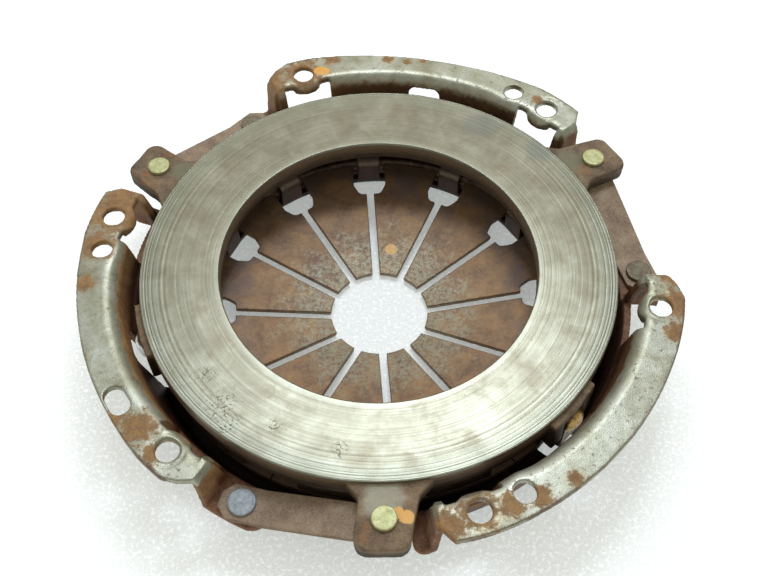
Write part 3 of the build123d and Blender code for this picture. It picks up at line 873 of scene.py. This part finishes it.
def casting_shape(points, outward):
    """Cast lumps, with the surfaces that the machined ring covers set back inside it."""
    radius = np.hypot(points[:, 0], points[:, 1])
    result = uneven(points, outward, casting_lumps)
    beside_ring = radius < face_outer_radius + ring_wall_margin
    covered = (points[:, 2] > face_height - ring_wall_depth) & beside_ring
    kept = np.clip(radius, face_inner_radius + casting_setback, face_outer_radius - casting_setback)
    factor = np.where(covered, kept / radius, 1.0)
    result[:, :2] = np.where(covered[:, None], points[:, :2] * factor[:, None], result[:, :2])
    lowered = np.minimum(points[:, 2], face_height - casting_setback)
    result[:, 2] = np.where(covered, lowered, result[:, 2])
    return result


def window_outline(low):
    """The strip that rounds a tall window's upper corners, as (across, height) pairs round its edge."""
    side = tall_window_width / 2
    middle = side - window_corner_radius
    foot = low - window_corner_radius
    half = []
    for turn in np.radians(np.linspace(90, 0, window_corner_points)):
        across = middle + window_corner_radius * math.cos(turn)
        half.append((across, low - window_corner_radius * (1 - math.sin(turn))))
    half.append((side + window_overlap, foot))
    half.append((side + window_overlap, -tall_window_top + window_overlap))
    return half + [(-across, height) for across, height in reversed(half)]


def round_windows(work):
    """Adds the strips in the wall, through the sheet's whole thickness."""
    for angle, low in zip(boss_angles, tall_window_lows):
        out, along = polar(1, angle), polar(1, angle + 90)
        rows = []
        for offset in (-wall_half_thickness, wall_half_thickness):
            row = []
            for across, height in window_outline(low):
                radius = wall_top_radius + wall_slope * height + offset
                point = out * math.sqrt(radius**2 - across**2) + along * across
                point[2] = height
                row.append(work.verts.new(Vector((point * MM).tolist())))
            rows.append(row)
        inner, outer = rows
        work.faces.new(inner)
        work.faces.new(outer[::-1])
        for k, start in enumerate(inner):
            after = (k + 1) % len(inner)
            work.faces.new((start, outer[k], outer[after], inner[after]))


def make_cover(finish):
    cover = worked_copy(
        "cover_pressing",
        "cover",
        voxel=0.5,
        rounds=4,
        shape=cover_shape,
        share=0.4,
        extra=round_windows,
    )
    cover.data.materials.append(finish)
    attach(cover, "cover")
    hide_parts("cover")


def make_casting(finish):
    casting = worked_copy(
        "plate_casting",
        "pressure_plate",
        voxel=0.5,
        rounds=6,
        shape=casting_shape,
        share=0.4,
    )
    casting.data.materials.append(finish)
    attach(casting, "pressure_plate")
    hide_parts("pressure_plate")


def make_ring(finish):
    """The machined ring: fine turned marks over the whole face and a few deeper grooves near its edges."""
    top = face_height
    first = face_inner_radius + ring_edge + ring_face_margin
    radii = np.arange(first, face_outer_radius - ring_edge, ring_mark_pitch)
    where = np.stack([radii, radii * 0, radii * 0], axis=1)
    marks = ring_mark_depth * lumps(where, ring_mark_width, 0.0)
    fine_radii = RANDOM.uniform(*fine_groove_radii, fine_groove_count)
    fine_depths = RANDOM.uniform(*fine_groove_depths, fine_groove_count)
    for groove, depth in edge_grooves + list(zip(fine_radii, fine_depths)):
        marks -= depth * np.exp(-(((radii - groove) / groove_half_width) ** 2))
    lower = top - ring_wall_depth
    edge_across = ring_edge * ring_edge_across
    edge_down = ring_edge * ring_edge_down
    profile = [
        (face_inner_radius + casting_setback * 2, lower),
        (face_inner_radius, lower + ring_lead),
        (face_inner_radius, top - ring_edge - ring_edge_run),
        (face_inner_radius, top - ring_edge),
        (face_inner_radius + edge_across, top - edge_down),
        (face_inner_radius + ring_edge, top),
    ]
    profile += [(r, top + m) for r, m in zip(radii, marks)]
    profile += [
        (face_outer_radius - ring_edge, top),
        (face_outer_radius - edge_across, top - edge_down),
        (face_outer_radius, top - ring_edge),
        (face_outer_radius, top - ring_edge - ring_edge_run),
        (face_outer_radius, lower + ring_lead),
        (face_outer_radius - casting_setback * 2, lower),
    ]
    profile.append(profile[0])
    ring = revolved("friction_ring", profile, ring_steps)
    ring.data.materials.append(finish)
    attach(ring, "pressure_plate")


def make_fingers(finish):
    first = worked_copy("finger_blade_01", "diaphragm_finger_01", voxel=0.3, rounds=2, share=0.5)
    first.data.materials.append(finish)
    for index in range(finger_count):
        number = f"{index + 1:02d}"
        blade = first if index == 0 else turned_copy(first, f"finger_blade_{number}", finger_turn * index)
        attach(blade, f"finger_{number}")
        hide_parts(f"diaphragm_finger_{number}")


def make_straps(finish):
    for leaf in range(1, leaf_count + 1):
        node = f"drive_strap_1_leaf_{leaf}"
        first = worked_copy(f"strap_1_leaf_{leaf}_strip", node, voxel=0.22, rounds=2, share=0.3)
        first.data.materials.append(finish)
        for pack in range(sector_count):
            name = f"strap_{pack + 1}_leaf_{leaf}_strip"
            strip = first if pack == 0 else turned_copy(first, name, sector_turn * pack)
            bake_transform(strip)
            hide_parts(f"drive_strap_{pack + 1}_leaf_{leaf}")


def only_near(angle):
    """A test that keeps the vertices within a sixth of a turn of that angle."""

    def keep(point):
        turn = math.degrees(math.atan2(point.y, point.x)) - angle
        return abs((turn + 180) % 360 - 180) < sector_turn / 2

    return keep


def hammered(points, outward):
    return uneven(points, outward, hammer_marks)


def rivet_finishes():
    """Each finish from its dark, light and dull colours, its metallic value and its roughness."""
    rows = {
        "zinc_yellow": ((172, 172, 118), (196, 196, 148), (140, 134, 92), 0.5, 0.42),
        "zinc_blue": ((150, 160, 166), (190, 198, 202), (104, 108, 114), 0.25, 0.6),
        "rivet_brown": ((96, 84, 66), (134, 124, 102), (84, 62, 46), 0.45, 0.48),
        "rivet_silver": ((150, 148, 144), (206, 206, 204), (110, 102, 94), 0.9, 0.24),
        "rivet_gold": ((122, 98, 58), (190, 158, 100), (70, 54, 36), 0.85, 0.3),
    }
    return {
        name: rivet_metal(name, srgb(*dark), srgb(*light), srgb(*dull), metal, rough)
        for name, (dark, light, dull, metal, rough) in rows.items()
    }


def make_rivet_set(name, node, body, angles, finishes):
    for index, (angle, finish) in enumerate(zip(angles, finishes)):
        rivet = worked_copy(
            f"{name}_{index + 1}",
            node,
            voxel=0.2,
            rounds=3,
            keep=only_near(angle),
            shape=hammered,
            share=0.4,
        )
        rivet.data.materials.append(finish)
        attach(rivet, body)
        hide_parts(node)


def make_rivets(metals):
    yellow, blue = metals["zinc_yellow"], metals["zinc_blue"]
    brown, silver, gold = metals["rivet_brown"], metals["rivet_silver"], metals["rivet_gold"]
    on_lugs, on_cover, on_clips = (yellow,) * 3, (brown, brown, blue), (brown, silver, gold)
    make_rivet_set("lug_rivet", "lug_rivets", "pressure_plate", lug_angles, on_lugs)
    make_rivet_set("cover_rivet", "cover_rivets", "cover", strap_cover_angles, on_cover)
    make_rivet_set("clip_rivet", "clip_rivets", "pressure_plate", boss_angles, on_clips)


def make_clips(finish):
    for index, angle in enumerate(boss_angles):
        name = f"lifting_clip_{index + 1}"
        keep = only_near(angle)
        clip = worked_copy(name, "lifting_clips", voxel=0.25, rounds=3, keep=keep, share=0.4)
        clip.data.materials.append(finish)
        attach(clip, "pressure_plate")
        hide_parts("lifting_clips")


def finish_wires(finish):
    for node in ("upper_pivot_wire", "lower_pivot_wire"):
        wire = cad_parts[node]
        wire.data.materials.clear()
        wire.data.materials.append(finish)
        shade_smooth(wire.data)


# ------------------------------------------------------------ floor and lights

FOAM_COLOURS = (srgb(232, 235, 234), srgb(252, 253, 252))
FOAM_GLOW = srgb(246, 252, 250)


def make_floor():
    """A pale foam sheet under the part, with a painted shadow of lesser glow near it."""
    half, floor_top = floor_half_width, cad_box[0].z - floor_gap
    mesh = bpy.data.meshes.new("floor")
    corners = [(-half, -half), (half, -half), (half, half), (-half, half)]
    mesh.from_pydata([(x, y, floor_top) for x, y in corners], [], [(0, 1, 2, 3)])
    floor = link("floor", mesh)
    f = Finish("floor_foam")
    cells = f.noise(2.2, 4.0, 0.65)
    sparkle = f.step(f.noise(1.6, 5.0, 0.75), 0.5, 0.62)
    white = f.mix(sparkle, *FOAM_COLOURS)
    # Painted shadow: the floor glows less near the part.
    dimmer, brighter = [floor_glow * share for share in floor_glow_shares]
    glow = f.step(f.radius, *floor_glow_radii, dimmer, brighter)
    rays = f.node("ShaderNodeLightPath").outputs
    seen = f.either(rays["Is Camera Ray"], rays["Is Glossy Ray"], rays["Is Transmission Ray"])
    emission = f.mul(seen, f.blend(sparkle, glow, f.mul(glow, sparkle_gain)))
    f.feed(f.shader.inputs["Emission Strength"], emission)
    f.shader.inputs["Emission Color"].default_value = FOAM_GLOW
    mesh.materials.append(f.done(white, 0.0, 0.7, f.bump(cells, 0.5)))


def make_light(name, place, size, power, colour):
    """A round area lamp that faces the part."""
    lamp = bpy.data.lights.new(name, "AREA")
    lamp.shape = "DISK"
    lamp.color = colour
    lamp.size = size
    lamp.energy = power
    light = bpy.data.objects.new(name, lamp)
    light.location = place
    light.rotation_euler = (-light.location).to_track_quat("-Z", "Y").to_euler()
    bpy.context.scene.collection.objects.link(light)


def make_world():
    world = bpy.data.worlds.new("studio")
    world.use_nodes = True
    background = world.node_tree.nodes["Background"]
    background.inputs["Color"].default_value = world_colour
    background.inputs["Strength"].default_value = world_strength
    bpy.context.scene.world = world


def turned(first, second, angle):
    """Two perpendicular axes turned in their own plane."""
    c, s = math.cos(angle), math.sin(angle)
    return first * c + second * s, second * c - first * s


def make_camera():
    """The photograph's viewpoint: its place, tilt and focal length."""
    back = np.array([0, -math.cos(camera_elevation), math.sin(camera_elevation)])
    right = np.array([1.0, 0.0, 0.0])
    place = back * camera_distance + [0, 0, face_height]
    right, up = turned(right, np.cross(back, right), camera_roll)
    right, back = turned(right, back, camera_pan)
    back, up = turned(back, up, camera_tilt)
    camera = bpy.data.objects.new("camera", bpy.data.cameras.new("camera"))
    camera.data.sensor_width = camera_sensor
    camera.data.lens = camera_lens
    matrix = Matrix(np.array([right, up, back]).T.tolist()).to_4x4()
    matrix.translation = Vector(place.tolist()) * MM
    camera.matrix_world = matrix
    bpy.context.scene.collection.objects.link(camera)
    bpy.context.scene.camera = camera


make_cover(cover_steel())
make_casting(cast_iron())
make_ring(ground_iron())
make_fingers(spring_steel())
make_straps(strap_steel())
make_rivets(rivet_finishes())
make_clips(clip_steel())
finish_wires(wire_steel())
make_floor()
make_world()
for settings in LAMPS:
    make_light(*settings)
make_camera()
bpy.context.scene.view_settings.view_transform = "Standard"
